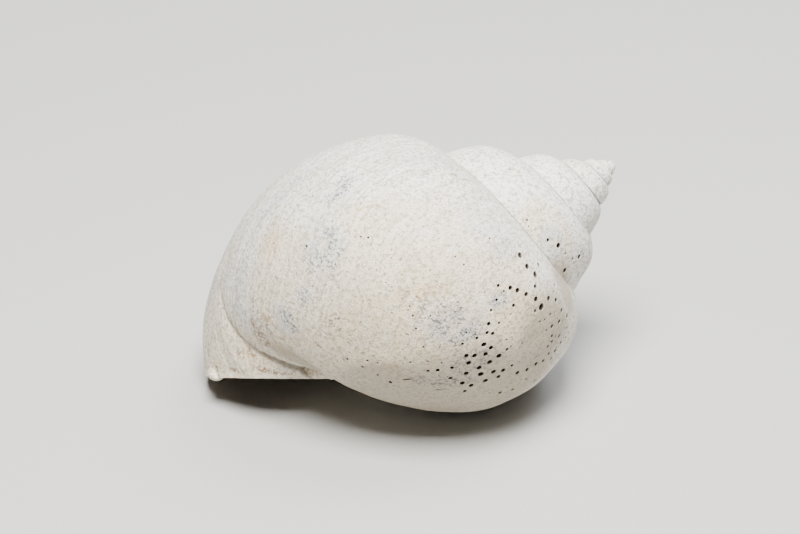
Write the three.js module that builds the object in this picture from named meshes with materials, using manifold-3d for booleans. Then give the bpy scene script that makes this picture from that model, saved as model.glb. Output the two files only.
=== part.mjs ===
import * as THREE from "three";
import { mergeVertices } from "three/addons/utils/BufferGeometryUtils.js";
import Module from "manifold-3d";

// A fossil moon snail shell: one hollow solid, lying on its mouth with the spire raised to the right.
// Millimetres, +Z up, origin on the floor under the middle of its box.
//
// The shell coils round an axis. Growth is an angle in degrees: each 360 adds a whorl, and at 0 the
// last whorl is out to the lower right. A whorl's outline is given at angle 0, as radius from the axis
// and depth below the apex, and both grow by a fixed factor with each turn.

// Growth
const widthPerTurn = 1.74;
const dropPerTurn = 1.777;
const firstAngle = -1860;
const smallUntil = -900;
const spireUntil = -420;
const lastWhorlEnd = 180;
const lipStart = 232;
const lipAngles = [[13.3, 284], [17.4, 272], [23.2, 264], [32.0, 258]]; // [depth, angle of the lip there]

// Outline of a whorl, from the suture round the side and the base to the axis
const whorlOutline = [
  [10.0, 13.3], [12.4, 14.1], [14.2, 15.5], [15.4, 17.4], [16.3, 20.0], [17.0, 23.2], [16.8, 26.6],
  [16.1, 29.6], [14.6, 32.6], [12.3, 35.6], [9.3, 38.0], [5.6, 39.5], [2.4, 39.9], [0, 39.6],
];
const sutureTuck = [9.3, 13.0]; // the whorl's top edge, buried in the whorl before
const whorlMiddle = [8, 27];
const baseRadius = 13; // the outline inside this radius is the base
const core = { gap: 0.2, radius: 1.2, length: 53, sides: 10 }; // solid cone along the axis, joining all slices

// How finely each stretch is drawn
const small = { step: 24, sideSteps: 7, plainBase: true };
const spire = { step: 15, sideSteps: 9, plainBase: true };
const lastWhorl = { step: 10, sideSteps: 11, plainBase: false };
const nearLip = { step: 13, sideSteps: 11, plainBase: false };

// The crease, an old edge of growth on the base, and the flange inside it, as [angle, size at angle 0]
const creaseRadius = [[60, 1.6], [105, 2.4], [141, 4.3], [164, 6.0], [178, 8.6], [186, 11.5]];
const creaseDip = [[20, 0], [60, 0.9], [105, 1.2], [141, 0.9], [171, 0.6], [186, 0.25], [205, 0]];
const flangeDrop = [[20, 0], [50, 2.2], [125, 1.5], [150, 0.7], [170, 0.25], [190, 0]];
const creaseSpread = 2.6; // how far out the dip beside the crease reaches
const creaseEdge = 0.7;

// The hollow
const wallThickness = [[-420, 0.8], [0, 1.3], [200, 1.3], [250, 0.95], [284, 0.7]];
const hollowStart = -420;
const hollowStep = 12;
const mouthOverrun = 22; // the hollow runs on past the lip, to open it
const hollowSideSteps = 8;
const hollowBaseRadii = [11.2, 9, 6.5, 4.2, 1.8]; // the last one is the columella
const whorlBefore = [[3.2, 39.9], [6, 39.4], [9.3, 38], [12.3, 35.6], [14.6, 32.6], [16.1, 29.6], [16.8, 26.8]];
const callus = 0.25; // thin layer laid over the whorl before

// How it lies
const spireLift = 25.3;
const spireTurn = 23.1;
const ownTurn = -35.3;
const apexPoint = new THREE.Vector3(26.8, 6.3, 25.8);
const apexDomeRadius = 0.97;
const floorBlock = 160;

// The edge of the base and columella is one flat cut that rises towards the viewer from the floor
const rim = { slope: 30.8, roll: 1.2, corner: new THREE.Vector3(-9.4, -1.0, 0.15), size: 40 };

// Small holes, where they show to a viewer: right of the sight point, above it, and width
const eye = new THREE.Vector3(0, -441.1, 278.1);
const sightPoint = new THREE.Vector3(0, 0, 15.2);
const viewRoll = 0.8;
const holeCone = { sides: 6, length: 1.1, widening: 1.5 };
const holes = [
  [17.7, -5.0, 0.8], [17.0, -4.0, 0.6], [18.6, -3.9, 0.6], [19.5, -4.1, 0.55], [15.9, 0.1, 0.65],
  [16.9, -0.9, 0.6], [15.0, 1.5, 0.65], [12.3, -2.3, 0.5], [13.8, -2.6, 0.7], [14.7, -3.0, 0.7],
  [15.8, -3.4, 0.55], [16.9, -2.4, 0.5], [14.2, -4.7, 0.6], [12.1, -4.1, 0.5], [20.2, -5.4, 0.6],
  [20.9, -6.1, 0.55], [19.9, -6.9, 0.5], [10.5, -9.7, 0.7], [11.4, -10.1, 0.6], [8.3, -11.1, 0.65],
  [9.2, -11.1, 0.6], [10.7, -11.0, 0.6], [12.4, -11.1, 0.6], [11.2, -11.9, 0.6], [10.1, -13.4, 0.6],
  [13.4, -10.3, 0.5], [14.0, -12.3, 0.55], [12.9, -12.9, 0.6], [14.6, -13.2, 0.5], [15.9, -12.8, 0.55],
  [17.0, -12.1, 0.5], [17.9, -11.7, 0.5], [9.0, -14.8, 0.55], [16.3, 5.1, 0.55], [19.8, 2.7, 0.6],
  [22.4, 1.3, 0.55], [20.6, -0.4, 0.6],
];

const mergeWithin = 0.002;

const wasm = await Module();
wasm.setup();

const radians = THREE.MathUtils.degToRad;
const turnAbout = (x, y, z, degrees) =>
  new THREE.Quaternion().setFromAxisAngle(new THREE.Vector3(x, y, z), radians(degrees));
const lying = turnAbout(0, 0, 1, spireTurn)
  .multiply(turnAbout(0, 1, 0, 90 - spireLift))
  .multiply(turnAbout(0, 0, 1, ownTurn));

// The value at x on a line of [x, value] points, which stays level beyond its ends
function along(line, x) {
  const after = line.findIndex((point) => point[0] > x);
  if (after === 0) {
    return line[0][1];
  }
  if (after < 0) {
    return line[line.length - 1][1];
  }
  const [x0, y0] = line[after - 1];
  const [x1, y1] = line[after];
  return y0 + ((y1 - y0) * (x - x0)) / (x1 - x0);
}

const widthAt = (angle) => widthPerTurn ** (angle / 360);
const dropAt = (angle) => dropPerTurn ** (angle / 360);

// The point at a growth angle, for a radius and depth of the outline
function place(angle, [radius, depth]) {
  const r = radius * widthAt(angle);
  const a = radians(angle);
  return new THREE.Vector3(r * Math.cos(a), -r * Math.sin(a), -depth * dropAt(angle))
    .applyQuaternion(lying)
    .add(apexPoint);
}

const outlineCurve = new THREE.SplineCurve(whorlOutline.map(([r, d]) => new THREE.Vector2(r, d)));
const outline = outlineCurve.getPoints(260).map((point) => [point.x, point.y]);
const side = outline.filter(([r, d]) => r >= baseRadius || d < whorlMiddle[1]);
const base = outline.slice(side.length - 1).reverse();
const sidePoint = (share) => side[Math.round(share * (side.length - 1))];

const dipAt = (angle, out) => along(creaseDip, angle) * Math.exp(-Math.abs(out) / creaseSpread);

// Depth of the base, with the dip outside its crease and the flange inside
function baseDepth(angle, radius) {
  const out = radius - along(creaseRadius, angle);
  const onFlange = THREE.MathUtils.clamp(-out / creaseEdge, 0, 1);
  const dip = dipAt(angle, Math.max(out, 0)) * (1 - onFlange);
  return along(base, radius) + along(flangeDrop, angle) * onFlange - dip;
}

const spread = (from, to, shares) => shares.map((share) => from + (to - from) * share);

// The section of a filled whorl, from the axis round its side and base and back
function whorlSection(angle, detail) {
  const section = [[core.gap, sutureTuck[1]], sutureTuck];
  for (let i = 0; i < detail.sideSteps; i++) {
    section.push(sidePoint(i / detail.sideSteps));
  }
  if (detail.plainBase) {
    section.push(...[baseRadius, baseRadius / 2, core.gap].map((r) => [r, along(base, r)]));
    return section;
  }
  const crease = along(creaseRadius, angle);
  const radii = [
    ...spread(baseRadius, crease, [0, 0.3, 0.6, 0.85, 1]),
    ...spread(crease - creaseEdge, core.gap, [0, 0.25, 0.5, 0.75, 1]),
  ];
  section.push(...radii.map((r) => [r, baseDepth(angle, r)]));
  return section;
}

// The section of the hollow: inside the wall, down to the columella, and back along the whorl before
function hollowSection(angle) {
  const wall = along(wallThickness, angle) / widthAt(angle);
  const section = [];
  for (let i = 1; i <= hollowSideSteps; i++) {
    const [r0, d0] = sidePoint((i - 0.2) / hollowSideSteps);
    const [r1, d1] = sidePoint(i / hollowSideSteps);
    const length = Math.hypot(r1 - r0, d1 - d0);
    section.push([r1 - (wall * (d1 - d0)) / length, d1 + (wall * (r1 - r0)) / length]);
  }
  for (const r of hollowBaseRadii) {
    section.push([r, along(base, r) - wall - dipAt(angle, r - along(creaseRadius, angle))]);
  }
  for (const [r, d] of whorlBefore) {
    section.push([r / widthPerTurn + callus, d / dropPerTurn + callus]);
  }
  return section;
}

const anglesFrom = (from, to, step) =>
  Array.from({ length: Math.round((to - from) / step) + 1 }, (_, i) => from + i * step);

// The angle a share of the way from lipStart to the lip
const towardsLip = (depth, share, overrun) =>
  lipStart + (along(lipAngles, depth) + overrun - lipStart) * share;

// A closed solid through rings of points, with a middle point at each end
function sweep(rings, firstMiddle, lastMiddle) {
  const count = rings[0].length;
  const vertices = rings.flat();
  const triangles = [];
  for (let i = 1; i < rings.length; i++) {
    for (let j = 0; j < count; j++) {
      const before = (i - 1) * count;
      const now = i * count;
      const next = (j + 1) % count;
      triangles.push([before + j, before + next, now + next], [before + j, now + next, now + j]);
    }
  }
  const first = vertices.push(firstMiddle) - 1;
  const last = vertices.push(lastMiddle) - 1;
  const end = (rings.length - 1) * count;
  for (let j = 0; j < count; j++) {
    const next = (j + 1) % count;
    triangles.push([first, next, j], [last, end + j, end + next]);
  }
  const geometry = new THREE.BufferGeometry().setFromPoints(vertices);
  geometry.setIndex(triangles.flat());
  return solidOf(geometry);
}

// A manifold solid of a closed geometry, with its faces turned outwards
function solidOf(geometry) {
  const bare = geometry.toNonIndexed();
  bare.deleteAttribute("normal");
  bare.deleteAttribute("uv");
  const merged = mergeVertices(bare, mergeWithin);
  const vertProperties = new Float32Array(merged.attributes.position.array);
  const triVerts = new Uint32Array(merged.index.array);
  const solid = new wasm.Manifold(new wasm.Mesh({ numProp: 3, vertProperties, triVerts }));
  if (solid.volume() > 0) {
    return solid;
  }
  triVerts.reverse();
  return new wasm.Manifold(new wasm.Mesh({ numProp: 3, vertProperties, triVerts }));
}

function geometryOf(solid) {
  const mesh = solid.getMesh();
  const geometry = new THREE.BufferGeometry();
  geometry.setAttribute("position", new THREE.BufferAttribute(new Float32Array(mesh.vertProperties), 3));
  geometry.setIndex(new THREE.BufferAttribute(new Uint32Array(mesh.triVerts), 1));
  return geometry;
}

// The main body of a solid, without crumbs left by a cut
function largest(solid) {
  const bodies = solidOf(geometryOf(solid)).decompose();
  return bodies.sort((a, b) => b.volume() - a.volume())[0];
}

function whorl(from, to, detail) {
  const rings = anglesFrom(from, to, detail.step)
    .map((angle) => whorlSection(angle, detail).map((point) => place(angle, point)));
  return sweep(rings, place(from, whorlMiddle), place(to, whorlMiddle));
}

// The last stretch of whorl, which ends in the thin outer lip
function lipWhorl() {
  const section = whorlSection(lipStart, nearLip);
  const ringAt = (share) => section.map((point) => place(towardsLip(point[1], share, 0), point));
  const lipMiddle = place(towardsLip(whorlMiddle[1], 1, 0), whorlMiddle);
  return sweep([0, 0.25, 0.5, 0.75, 1].map(ringAt), place(lipStart, whorlMiddle), lipMiddle);
}

function hollow() {
  const inner = anglesFrom(hollowStart, lipStart, hollowStep)
    .map((angle) => hollowSection(angle).map((point) => place(angle, point)));
  const mouth = [0.25, 0.5, 0.75, 1].map((share) =>
    hollowSection(towardsLip(whorlMiddle[1], share, 0))
      .map((point) => place(towardsLip(point[1], share, mouthOverrun), point)));
  const mouthMiddle = place(towardsLip(whorlMiddle[1], 1, mouthOverrun), whorlMiddle);
  return sweep([...inner, ...mouth], place(hollowStart, whorlMiddle), mouthMiddle);
}

function axisCore() {
  const cone = new THREE.ConeGeometry(core.radius, core.length, core.sides);
  cone.rotateX(Math.PI / 2);
  cone.translate(0, 0, -core.length / 2);
  cone.applyQuaternion(lying);
  cone.translate(...apexPoint.toArray());
  return solidOf(cone);
}

// The rounded first whorl at the very tip
function apexDome() {
  const dome = new THREE.SphereGeometry(apexDomeRadius, 12, 8);
  dome.translate(...place(firstAngle, [0, whorlMiddle[1]]).toArray());
  return solidOf(dome);
}

// All that lies past the flat edge of the base and columella
function belowRim() {
  const block = new THREE.BoxGeometry(rim.size, rim.size, rim.size);
  block.translate(-rim.size / 2, -rim.size / 2, -rim.size / 2);
  block.applyQuaternion(turnAbout(0, 1, 0, rim.roll).multiply(turnAbout(1, 0, 0, -rim.slope)));
  block.translate(...rim.corner.toArray());
  return solidOf(block);
}

function belowFloor() {
  const block = new THREE.BoxGeometry(floorBlock, floorBlock, floorBlock);
  block.translate(0, 0, -floorBlock / 2);
  return solidOf(block);
}

// A pointed hole where each line of sight meets the shell
function holeCutters(geometry) {
  const skin = new THREE.Mesh(geometry, new THREE.MeshBasicMaterial());
  const forward = sightPoint.clone().sub(eye).normalize();
  const right = new THREE.Vector3(1, 0, 0).applyAxisAngle(forward, radians(viewRoll));
  const up = new THREE.Vector3().crossVectors(right, forward);
  return holes.map(([across, above, width]) => {
    const target = sightPoint.clone().addScaledVector(right, across).addScaledVector(up, above);
    const ray = new THREE.Raycaster(eye, target.sub(eye).normalize());
    const hit = ray.intersectObject(skin)[0];
    const cone = new THREE.ConeGeometry((width * holeCone.widening) / 2, holeCone.length, holeCone.sides);
    const inward = hit.face.normal.clone().negate();
    cone.applyQuaternion(new THREE.Quaternion().setFromUnitVectors(new THREE.Vector3(0, 1, 0), inward));
    cone.translate(...hit.point.toArray());
    return solidOf(cone);
  });
}

function shellSolid() {
  const solids = [apexDome(), axisCore(), lipWhorl(), whorl(lastWhorlEnd, lipStart, nearLip)];
  for (let angle = firstAngle; angle < smallUntil; angle += 240) {
    solids.push(whorl(angle, angle + 240, small));
  }
  for (let angle = smallUntil; angle < spireUntil; angle += 240) {
    solids.push(whorl(angle, angle + 240, spire));
  }
  for (let angle = spireUntil; angle < lastWhorlEnd; angle += 300) {
    solids.push(whorl(angle, angle + 300, lastWhorl));
  }
  const filled = wasm.Manifold.union(solids);
  const body = largest(filled.subtract(belowRim()).subtract(belowFloor()).subtract(hollow()));
  return largest(body.subtract(wasm.Manifold.union(holeCutters(geometryOf(body)))));
}

const shellGeometry = geometryOf(shellSolid());
shellGeometry.computeBoundingBox();
const { min, max } = shellGeometry.boundingBox;
shellGeometry.translate(-(min.x + max.x) / 2, -(min.y + max.y) / 2, 0);

const chalkyShell = new THREE.MeshStandardMaterial({ color: 0xd9d3c7, roughness: 0.75, metalness: 0 });
const shell = new THREE.Mesh(shellGeometry, chalkyShell);
shell.name = "shell";

const model = new THREE.Group();
model.add(shell);
export default model;
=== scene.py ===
import math
import random

import bmesh
import bpy
import numpy as np
from mathutils import Matrix, Vector, kdtree, noise
from mathutils.bvhtree import BVHTree


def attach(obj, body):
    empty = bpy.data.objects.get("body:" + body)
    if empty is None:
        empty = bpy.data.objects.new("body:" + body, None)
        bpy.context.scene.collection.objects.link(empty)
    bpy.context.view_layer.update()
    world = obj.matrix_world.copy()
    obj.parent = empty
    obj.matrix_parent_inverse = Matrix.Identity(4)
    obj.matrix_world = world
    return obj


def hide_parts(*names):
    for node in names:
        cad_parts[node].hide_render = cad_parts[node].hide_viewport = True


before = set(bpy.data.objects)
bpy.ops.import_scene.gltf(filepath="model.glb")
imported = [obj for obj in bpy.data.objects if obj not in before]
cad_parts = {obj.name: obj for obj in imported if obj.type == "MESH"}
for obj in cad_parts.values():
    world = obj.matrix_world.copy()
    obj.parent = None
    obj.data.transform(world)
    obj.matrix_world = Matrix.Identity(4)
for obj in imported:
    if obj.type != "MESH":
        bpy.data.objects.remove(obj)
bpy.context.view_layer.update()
mm = 0.001
print("frame loaded")

# The view is from the front and about 31 degrees above, far away through a long lens
view = {
    "place": (-1.171, -439.106, 278.132),  # mm
    "right": (0.9999, -0.00728, -0.01222),
    "up": (0.01422, 0.51195, 0.8589),
    # places on the shell are given in mm right of this point and above it, as seen
    "sightPoint": (-1.17, 1.99, 15.2),
    "lens": 184.9,
    "sensor": 36,
    "clip": (0.05, 20),  # m
}

# How the shell grows and lies. Angles are in degrees along the coil, and sizes in mm
growth = {
    "widthPerTurn": 1.74,
    "dropPerTurn": 1.777,
    # depth, and the angle where the lip ends there
    "lip": [(13.3, 285), (17.4, 272), (23.2, 264), (32.0, 258)],
    "lipFrom": 200,
    "apex": (25.63, 8.29, 25.8),
    "spireLift": 25.3,
    "spireTurn": 23.1,
    "ownTurn": -35.3,
    # the first whorls stand a little further out, and the point closes at this share of the middle's depth
    "tip": {"reach": 8, "shift": (0.42, 0.3, 0.42), "depth": 0.25},
}

# One whorl's outline at growth angle 0: radius from the axis, and depth below the apex
whorl = {
    "outline": [
        (10.0, 13.3), (12.4, 14.1), (14.2, 15.5), (15.4, 17.4), (16.3, 20.0), (17.0, 23.2), (16.8, 26.6),
        (16.1, 29.6), (14.6, 32.6), (12.3, 35.6), (9.3, 38.0), (5.6, 39.5), (2.4, 39.9), (0, 39.6),
    ],
    "sutureDepth": 23.5,
    "baseRadius": 13,
    "axisGap": 0.3,
    "middle": (8, 27),
    "flatter": [(-420, 0.13), (-200, 0.1), (-75, 0)],  # the spire's whorls bulge less than the last one
    "creaseRadius": [(60, 1.6), (105, 2.4), (123, 3.3), (141, 4.3), (153, 5.0), (164, 6.1), (171, 7.1),
                     (178, 8.7), (186, 11.5)],
    "creaseDip": [(20, 0), (60, 0.9), (105, 1.2), (141, 0.9), (171, 0.6), (186, 0.25), (205, 0)],
    "flangeDrop": [(20, 0), (50, 2.2), (125, 1.5), (150, 0.7), (170, 0.25), (190, 0)],
    "creaseSpread": 2.6,
    # the flange swells over this width, and how roundly
    "creaseEdge": [(50, 0.5), (90, 1.0), (125, 1.9), (150, 2.6), (186, 3.5)],
    "flangeBulge": 0.8,
    "curvePoints": 500,
}

# Stretches from the tip on: first and last angle, step, and faces from suture to suture
stretches = [(-1860, -900, 12, 12), (-900, -420, 6, 22), (-420, -75, 3, 36), (-75, 285, 0.75, 36)]
spireEnd = stretches[-1][0]

# Faces across the base. The fine ones over the crease start and end these mm and edge widths beside it
baseFaces = {"side": 34, "toCrease": 22, "overCrease": 20, "flange": 10, "outside": 0.5, "inside": 1.1}

hollow = {
    "wall": [(-420, 0.8), (0, 1.3), (200, 1.3), (250, 0.95), (284, 0.7)],
    "first": -420,
    "coarseUntil": 60,
    "coarseStep": 6,
    "step": 2,
    "lipFrom": 232,
    "lipSection": 28,  # degrees after lipFrom where the section stops changing
    "lipMiddle": 268,
    "lipRings": 24,
    "overrun": 40,
    "columella": 1.8,
    "baseEdge": 11.8,  # radius
    "before": {"below": 26.8, "outside": 3.2},  # the part of the whorl before that the mouth lies on
    "callus": 0.25,
    "points": {"side": 64, "base": 16, "before": 24},
    "sideFrom": 8,
    "sideStep": 2,
}

# The flat edge of the base and columella rises towards the viewer from the floor
rim = {"slope": 30.8, "roll": 1.2, "corner": (-10.1, 0.99, -0.15), "size": 40}

# Swellings joined to the coil: middle, half sizes, and turn about the upright axis
pebbles = {
    "callus": ((-11.4, -8.9, 7.0), (2.6, 1.8, 1.15), 6),  # where the mouth's edge meets the whorl before it
    "crease_end": ((-11.2, -9.8, 7.5), (3.0, 1.4, 1.2), -5),  # fills the end of the crease above that
    "lip_corner": ((-24.3, -5.15, 4.35), (1.1, 1.3, 0.72), 20),  # the lip's front corner
    "first_whorl": ((25.2, 8.25, 25.69), (0.76, 0.8, 0.76), 0),  # the blunt tip
}


def along(line, x):
    xs, ys = zip(*line)
    return np.interp(x, xs, ys)


def smoothCurve(points, count):
    # natural cubic spline through the points, by chord length
    p = np.array(points, float)
    t = np.concatenate([[0], np.cumsum(np.hypot(*np.diff(p, axis=0).T))])
    h = np.diff(t)
    n = len(p)
    a = np.eye(n)
    b = np.zeros((n, 2))
    for i in range(1, n - 1):
        a[i, i - 1:i + 2] = [h[i - 1], 2 * (h[i - 1] + h[i]), h[i]]
        b[i] = 6 * ((p[i + 1] - p[i]) / h[i] - (p[i] - p[i - 1]) / h[i - 1])
    m = np.linalg.solve(a, b)
    u = np.linspace(0, t[-1], count)
    i = np.clip(np.searchsorted(t, u) - 1, 0, n - 2)
    left, right, w = (t[i + 1] - u)[:, None], (u - t[i])[:, None], h[i][:, None]
    bend = (m[i] * left**3 + m[i + 1] * right**3) / (6 * w)
    return bend + (p[i] / w - m[i] * w / 6) * left + (p[i + 1] / w - m[i + 1] * w / 6) * right


def evenly(curve, count):
    # the curve again as count steps of one length
    t = np.concatenate([[0], np.cumsum(np.hypot(*np.diff(curve, axis=0).T))])
    u = np.linspace(0, t[-1], count + 1)
    return np.stack([np.interp(u, t, curve[:, 0]), np.interp(u, t, curve[:, 1])], 1)


turn = (Matrix.Rotation(math.radians(growth["spireTurn"]), 3, "Z")
        @ Matrix.Rotation(math.radians(90 - growth["spireLift"]), 3, "Y")
        @ Matrix.Rotation(math.radians(growth["ownTurn"]), 3, "Z"))
turnEuler = turn.to_euler()
turn = np.array(turn)


def place(angle, radius, depth):
    # from the coil to mm in the frame
    angle, radius, depth = np.broadcast_arrays(angle, radius, depth)
    r = radius * growth["widthPerTurn"] ** (angle / 360)
    a = np.radians(angle)
    d = depth * growth["dropPerTurn"] ** (angle / 360)
    share = np.clip(1 - d / growth["tip"]["reach"], 0, 1) ** 2
    point = np.stack([r * np.cos(a), -r * np.sin(a), -d], -1) @ turn.T + growth["apex"]
    return point + share[..., None] * growth["tip"]["shift"]


curve = smoothCurve(whorl["outline"], whorl["curvePoints"])
isSide = (curve[:, 0] >= whorl["baseRadius"]) | (curve[:, 1] < whorl["middle"][1])
sutureRadius = float(np.interp(whorl["sutureDepth"], curve[isSide][:, 1], curve[isSide][:, 0]))
suture = np.array([sutureRadius, whorl["sutureDepth"]])
top = suture / (growth["widthPerTurn"], growth["dropPerTurn"])
aboveSuture = np.vstack([top, curve[curve[:, 1] < suture[1]], suture])
belowSuture = np.vstack([suture, curve[isSide & (curve[:, 1] > suture[1])]])
base = curve[~isSide][::-1]


def baseDepth(angle, radius):
    out = radius - along(whorl["creaseRadius"], angle)
    onFlange = np.clip(-out / along(whorl["creaseEdge"], angle), 0, 1) ** whorl["flangeBulge"]
    dip = along(whorl["creaseDip"], angle) * np.exp(-np.maximum(out, 0) / whorl["creaseSpread"])
    drop = along(whorl["flangeDrop"], angle)
    return np.interp(radius, base[:, 0], base[:, 1]) + drop * onFlange - dip * (1 - onFlange)


class Skin:
    # vertices with their place on the coil, and faces
    def __init__(self):
        self.points, self.angles, self.downs, self.faces = [], [], [], []
        self.count = 0

    def add(self, angle, radius, depth, down):
        angle, radius, depth, down = np.broadcast_arrays(angle, radius, depth, down)
        self.points.append(place(angle, radius, depth).reshape(-1, 3))
        self.angles.append(np.array(angle, float).ravel())
        self.downs.append(np.array(down, float).ravel())
        self.count += angle.size
        return np.arange(self.count - angle.size, self.count).reshape(angle.shape)

    def quads(self, grid):
        a, b, c, d = grid[:-1, :-1], grid[:-1, 1:], grid[1:, 1:], grid[1:, :-1]
        self.faces += np.stack([a, b, c, d], -1).reshape(-1, 4).tolist()

    def zip(self, first, second):
        # triangles between two rows that have different numbers of points
        p = np.concatenate(self.points)
        i = j = 0
        while i + 1 < len(first) or j + 1 < len(second):
            stepFirst = j + 1 == len(second) or (i + 1 < len(first) and np.linalg.norm(
                p[first[i + 1]] - p[second[j]]) <= np.linalg.norm(p[first[i]] - p[second[j + 1]]))
            if stepFirst:
                self.faces.append([first[i], first[i + 1], second[j]])
                i += 1
            else:
                self.faces.append([first[i], second[j + 1], second[j]])
                j += 1

    def mesh(self, name):
        return meshPiece(name, np.concatenate(self.points) * mm, self.faces)


def meshPiece(name, points, faces):
    data = bpy.data.meshes.new(name)
    data.from_pydata(np.asarray(points).tolist(), [], faces)
    work = bmesh.new()
    work.from_mesh(data)
    bmesh.ops.recalc_face_normals(work, faces=work.faces)
    work.to_mesh(data)
    work.free()
    piece = bpy.data.objects.new(name, data)
    bpy.context.scene.collection.objects.link(piece)
    return piece


def filledShell():
    skin = Skin()
    rows = []  # for each stretch: its angles and its grid of vertex numbers
    for first, last, step, faces in stretches:
        angles = np.arange(first, last + step / 2, step)
        section = evenly(aboveSuture, faces)
        if last < 0:
            section, angles = section[:-1], angles[:-1]
            down = np.linspace(0, 1, faces + 1)[:-1]
            chord = top + (suture - top) * down[:, None]
            share = along(whorl["flatter"], angles)[:, None, None]
            flatter = section[None] * (1 - share) + chord[None] * share
            grid = skin.add(angles[:, None], flatter[..., 0], flatter[..., 1], down[None])
        else:
            grid = lastStretch(skin, angles, section)
        rows.append((angles, grid))
    seam = {}
    for angles, grid in rows:
        seam.update(zip(angles.tolist(), grid[:, 0].tolist()))
    seamAngles = np.array(sorted(seam))

    def seamBetween(low, high):
        inside = seamAngles[(seamAngles >= low) & (seamAngles <= high)]
        return [seam[a] for a in inside.tolist()]

    lastAngles, lastGrid = rows[-1]
    suturePoint = stretches[-1][3]
    lastGrid[0, suturePoint] = lastGrid[-1, 0]
    skin.quads(lastGrid)
    for (angles, grid), (nextAngles, nextGrid) in zip(rows[:-1], rows[1:]):
        skin.quads(grid)
        for i in range(len(angles) - 1):
            skin.zip(grid[i:i + 2, -1].tolist(), seamBetween(angles[i] + 360, angles[i + 1] + 360))
        edge = seamBetween(angles[-1] + 360, nextAngles[0] + 360)
        following = nextGrid[0, :suturePoint + 1] if nextAngles is lastAngles else nextGrid[0]
        following = following.tolist()
        if nextAngles is not lastAngles:
            following = following + [edge[-1]]
        skin.zip(grid[-1].tolist() + edge[:-1], following)
    # the end of the last whorl, down to the whorl before
    skin.zip(lastGrid[-1, 1:].tolist(), lastGrid[0, suturePoint:].tolist())
    axis = skin.add(90, 0, whorl["outline"][-1][1], 3)
    helix = lastGrid[:, -1].tolist()
    ring = helix + [helix[0]]
    skin.faces += [[a, b, int(axis)] for a, b in zip(ring[:-1], ring[1:])]
    # the rounded tip
    tip = skin.add(stretches[0][0], 0, whorl["middle"][1] * growth["tip"]["depth"], 0)
    firstAngles, firstGrid = rows[0]
    turnRows = int(360 / stretches[0][2])
    loop = firstGrid[:turnRows + 1, 0].tolist() + firstGrid[0, ::-1].tolist()
    skin.faces += [[a, b, int(tip)] for a, b in zip(loop[:-1], loop[1:])]
    return skin


def lastStretch(skin, angles, section):
    side = evenly(belowSuture, baseFaces["side"])[1:]
    full = np.vstack([section, side])
    down = np.concatenate([np.linspace(0, 1, len(section)), np.linspace(1, 2, len(side) + 1)[1:]])
    n1, n2, n3 = baseFaces["toCrease"], baseFaces["overCrease"], baseFaces["flange"]
    crease = along(whorl["creaseRadius"], angles)[:, None]
    last = side[-1, 0]
    near = crease + baseFaces["outside"]
    edge = along(whorl["creaseEdge"], angles)[:, None]
    far = np.maximum(crease - baseFaces["inside"] * edge, 2 * whorl["axisGap"])
    share = (np.arange(n1) + 1) / n1
    outer = last + (near - last) * share[None] ** 0.8  # a little closer together towards the crease
    over = near + (far - near) * ((np.arange(n2) + 1) / n2)[None]
    inner = far + (whorl["axisGap"] - far) * ((np.arange(n3) + 1) / n3)[None]
    radii = np.hstack([outer, over, inner])
    depths = baseDepth(angles[:, None], radii)
    r = np.hstack([np.broadcast_to(full[:, 0], (len(angles), len(full))), radii])
    d = np.hstack([np.broadcast_to(full[:, 1], (len(angles), len(full))), depths])
    downs = np.hstack([np.broadcast_to(down, (len(angles), len(down))), 3 - radii / last])
    deepest = np.full(radii.shape[1], growth["lip"][-1][0])
    lipAngle = along(growth["lip"], np.concatenate([full[:, 1], deepest]))[None]
    end, start = angles[-1], growth["lipFrom"]
    warp = start + (angles[:, None] - start) * (lipAngle - start) / (end - start)
    return skin.add(np.where(angles[:, None] > start, warp, angles[:, None] + 0 * lipAngle), r, d, downs)


def hollowTube():
    skin = Skin()
    points = hollow["points"]
    upper = evenly(np.vstack([aboveSuture, belowSuture[1:]]), points["side"])
    tangent = np.gradient(upper, axis=0)
    normal = np.stack([-tangent[:, 1], tangent[:, 0]], 1) / np.hypot(*tangent.T)[:, None]
    kept = slice(hollow["sideFrom"], None, hollow["sideStep"])
    upper, normal = upper[kept], normal[kept]
    isBefore = (curve[:, 1] > hollow["before"]["below"]) & (curve[:, 0] > hollow["before"]["outside"])
    before = evenly(curve[isBefore][::-1], points["before"])
    before = before / (growth["widthPerTurn"], growth["dropPerTurn"]) + hollow["callus"]
    baseRadii = np.linspace(hollow["baseEdge"], hollow["columella"], points["base"])

    def section(angle):
        wall = float(along(hollow["wall"], angle)) / growth["widthPerTurn"] ** (angle / 360)
        out = np.abs(baseRadii - along(whorl["creaseRadius"], angle))
        dip = along(whorl["creaseDip"], angle) * np.exp(-out / whorl["creaseSpread"])
        depths = np.interp(baseRadii, base[:, 0], base[:, 1]) - wall - dip
        return np.vstack([upper + normal * wall, np.stack([baseRadii, depths], 1), before])

    rings = []
    angles = np.concatenate([np.arange(hollow["first"], hollow["coarseUntil"], hollow["coarseStep"]),
                             np.arange(hollow["coarseUntil"], hollow["lipFrom"] + 0.1, hollow["step"])])
    for angle in angles:
        s = section(angle)
        rings.append(skin.add(angle, s[:, 0], s[:, 1], 0))
    for share in np.linspace(0, 1, hollow["lipRings"])[1:]:
        s = section(hollow["lipFrom"] + hollow["lipSection"] * share)
        reach = along(growth["lip"], s[:, 1]) + hollow["overrun"] - hollow["lipFrom"]
        rings.append(skin.add(hollow["lipFrom"] + reach * share, s[:, 0], s[:, 1], 0))
    grid = np.array([np.append(ring, ring[0]) for ring in rings])
    skin.quads(grid)
    for ring, angle in ((grid[0], hollow["first"]), (grid[-1], hollow["lipMiddle"] + hollow["overrun"])):
        centre = skin.add(angle, *whorl["middle"], 0)
        skin.faces += [[int(a), int(b), int(centre)] for a, b in zip(ring[:-1], ring[1:])]
    return skin


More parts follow.
